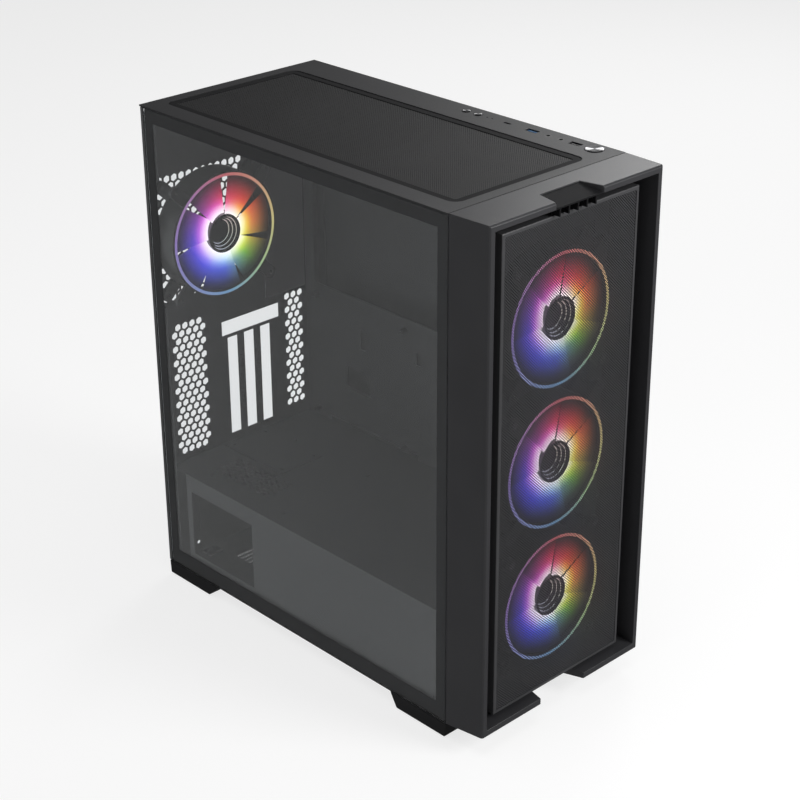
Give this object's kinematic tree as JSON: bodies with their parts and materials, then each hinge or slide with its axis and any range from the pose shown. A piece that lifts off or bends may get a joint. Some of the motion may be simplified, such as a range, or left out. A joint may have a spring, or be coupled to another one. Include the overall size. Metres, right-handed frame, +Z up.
{
  "type": "desktop computer tower",
  "caption": "Mid-tower computer case with a hinged tinted glass side, mesh front with lit fans, lit rear fan, lift-off top filter and a power supply shroud.",
  "frame": {"origin": "on the floor under the middle of the case", "axes": "+Z up, the front panel faces -Y, the glass door is on the -X side"},
  "size_m": [0.206, 0.428, 0.4808],
  "materials": {
    "painted_steel": "satin black powder coat",
    "panel_steel": "fine textured black powder coat",
    "black_plastic": "satin moulded black",
    "front_plastic": "satin charcoal with bright chamfers",
    "mesh_steel": "perforated, satin charcoal",
    "bare_steel": "bright zinc",
    "hinge_steel": "satin",
    "brass": "turned",
    "tinted_glass": "tinted tempered glass with a black printed border",
    "rubber": "matte",
    "foam": "closed-cell foam",
    "fan_plastic": "black fan housing",
    "light_ring": "milky diffuser, lit in a rainbow",
    "rotor_plastic": "translucent frosted, lit in a rainbow",
    "filter_mesh": "fine woven nylon",
    "button_metal": "spun concentric brush",
    "port_blue": "blue insert",
    "port_black": "black insert",
    "port_steel": "bright",
    "board_green": "solder mask",
    "led_clear": "clear"
  },
  "bodies": {
    "chassis": {"bottom_pan": "painted_steel", "rear_wall": "painted_steel", "front_wall": "painted_steel", "top_frame": "painted_steel", "motherboard_tray": "painted_steel", "psu_shroud": "painted_steel", "shroud_ssd_plate": "painted_steel", "io_blank_plate": "painted_steel", "hinge_rail": "hinge_steel", "hinge_pins": "bare_steel", "door_magnets": "bare_steel", "top_cover": "panel_steel", "feet": "black_plastic", "psu_cover_plate": "painted_steel", "foot_pads": "rubber", "standoffs": "brass", "drive_cage": "painted_steel", "ssd_brackets": "painted_steel", "fan_hub": "black_plastic", "io_board": "board_green", "tact_switches": "port_black", "usb3_port": "port_blue", "usb2_port": "port_black", "usb_c_port": "port_steel", "audio_jacks": "port_black", "led_pipes": "led_clear", "psu_pads": "foam", "fan_frame_front_top": "fan_plastic", "fan_frame_front_middle": "fan_plastic", "fan_frame_front_bottom": "fan_plastic", "fan_frame_rear": "fan_plastic", "light_ring_front_top": "light_ring", "light_ring_front_middle": "light_ring", "light_ring_front_bottom": "light_ring", "light_ring_rear": "light_ring", "fan_bearings": "brass", "fan_screws": "bare_steel"},
    "glass_door": {"side_glass": "tinted_glass", "door_leaf": "hinge_steel", "door_latch_strip": "bare_steel"},
    "right_side_panel": {"right_panel": "panel_steel"},
    "upper_thumb_screw": {"thumb_screw_top": "bare_steel"},
    "lower_thumb_screw": {"thumb_screw_bottom": "bare_steel"},
    "front_panel": {"front_frame": "front_plastic", "front_mesh": "mesh_steel", "grab_scoop": "black_plastic", "front_clips": "black_plastic"},
    "top_filter": {"top_filter_frame": "black_plastic", "top_filter_mesh": "filter_mesh"},
    "psu_filter": {"psu_filter_frame": "black_plastic", "psu_filter_mesh": "filter_mesh"},
    "power_key": {"power_button": "button_metal"},
    "reset_key": {"reset_button": "button_metal"},
    "light_key": {"light_button": "button_metal"},
    "fan_rotor_front_top": {"rotor_front_top": "rotor_plastic"},
    "fan_rotor_front_middle": {"rotor_front_middle": "rotor_plastic"},
    "fan_rotor_front_bottom": {"rotor_front_bottom": "rotor_plastic"},
    "fan_rotor_rear": {"rotor_rear": "rotor_plastic"},
    "drive_sled_upper": {"drive_tray_upper": "black_plastic"},
    "drive_sled_lower": {"drive_tray_lower": "black_plastic"}
  },
  "joints": [
    {"name": "door_swing", "type": "hinge", "parent": "chassis", "child": "glass_door", "pos_m": [-0.101, 0.212, 0.24], "axis": [0, 0, -1], "range_deg": [0, 110]},
    {"name": "right_panel_slide", "type": "slide", "parent": "chassis", "child": "right_side_panel", "axis": [0, 1, 0], "range_m": [0, 0.018]},
    {"name": "upper_thumb_screw_turn", "type": "hinge", "parent": "right_side_panel", "child": "upper_thumb_screw", "pos_m": [0.091, 0.21, 0.44], "axis": [0, 1, 0], "continuous": true},
    {"name": "lower_thumb_screw_turn", "type": "hinge", "parent": "right_side_panel", "child": "lower_thumb_screw", "pos_m": [0.091, 0.21, 0.06], "axis": [0, 1, 0], "continuous": true},
    {"name": "front_panel_pull", "type": "slide", "parent": "chassis", "child": "front_panel", "axis": [0, -1, 0], "range_m": [0, 0.08]},
    {"name": "top_filter_lift", "type": "slide", "parent": "chassis", "child": "top_filter", "axis": [0, 0, 1], "range_m": [0, 0.06]},
    {"name": "psu_filter_pull", "type": "slide", "parent": "chassis", "child": "psu_filter", "axis": [0, 1, 0], "range_m": [0, 0.15]},
    {"name": "power_press", "type": "slide", "parent": "chassis", "child": "power_key", "axis": [0, 0, -1], "range_m": [0, 0.0012], "stiffness_N_per_m": 600, "springref_m": -0.0006},
    {"name": "reset_press", "type": "slide", "parent": "chassis", "child": "reset_key", "axis": [0, 0, -1], "range_m": [0, 0.0012], "stiffness_N_per_m": 600, "springref_m": -0.0006},
    {"name": "light_press", "type": "slide", "parent": "chassis", "child": "light_key", "axis": [0, 0, -1], "range_m": [0, 0.0012], "stiffness_N_per_m": 600, "springref_m": -0.0006},
    {"name": "front_top_spin", "type": "hinge", "parent": "chassis", "child": "fan_rotor_front_top", "pos_m": [0, -0.185, 0.37], "axis": [0, 1, 0], "continuous": true},
    {"name": "front_middle_spin", "type": "hinge", "parent": "chassis", "child": "fan_rotor_front_middle", "pos_m": [0, -0.185, 0.24], "axis": [0, 1, 0], "continuous": true},
    {"name": "front_bottom_spin", "type": "hinge", "parent": "chassis", "child": "fan_rotor_front_bottom", "pos_m": [0, -0.185, 0.11], "axis": [0, 1, 0], "continuous": true},
    {"name": "rear_spin", "type": "hinge", "parent": "chassis", "child": "fan_rotor_rear", "pos_m": [-0.0376, 0.19, 0.35], "axis": [0, 1, 0], "continuous": true},
    {"name": "upper_sled_pull", "type": "slide", "parent": "chassis", "child": "drive_sled_upper", "axis": [1, 0, 0], "range_m": [0, 0.01]},
    {"name": "lower_sled_pull", "type": "slide", "parent": "chassis", "child": "drive_sled_lower", "axis": [1, 0, 0], "range_m": [0, 0.01]}
  ]
}
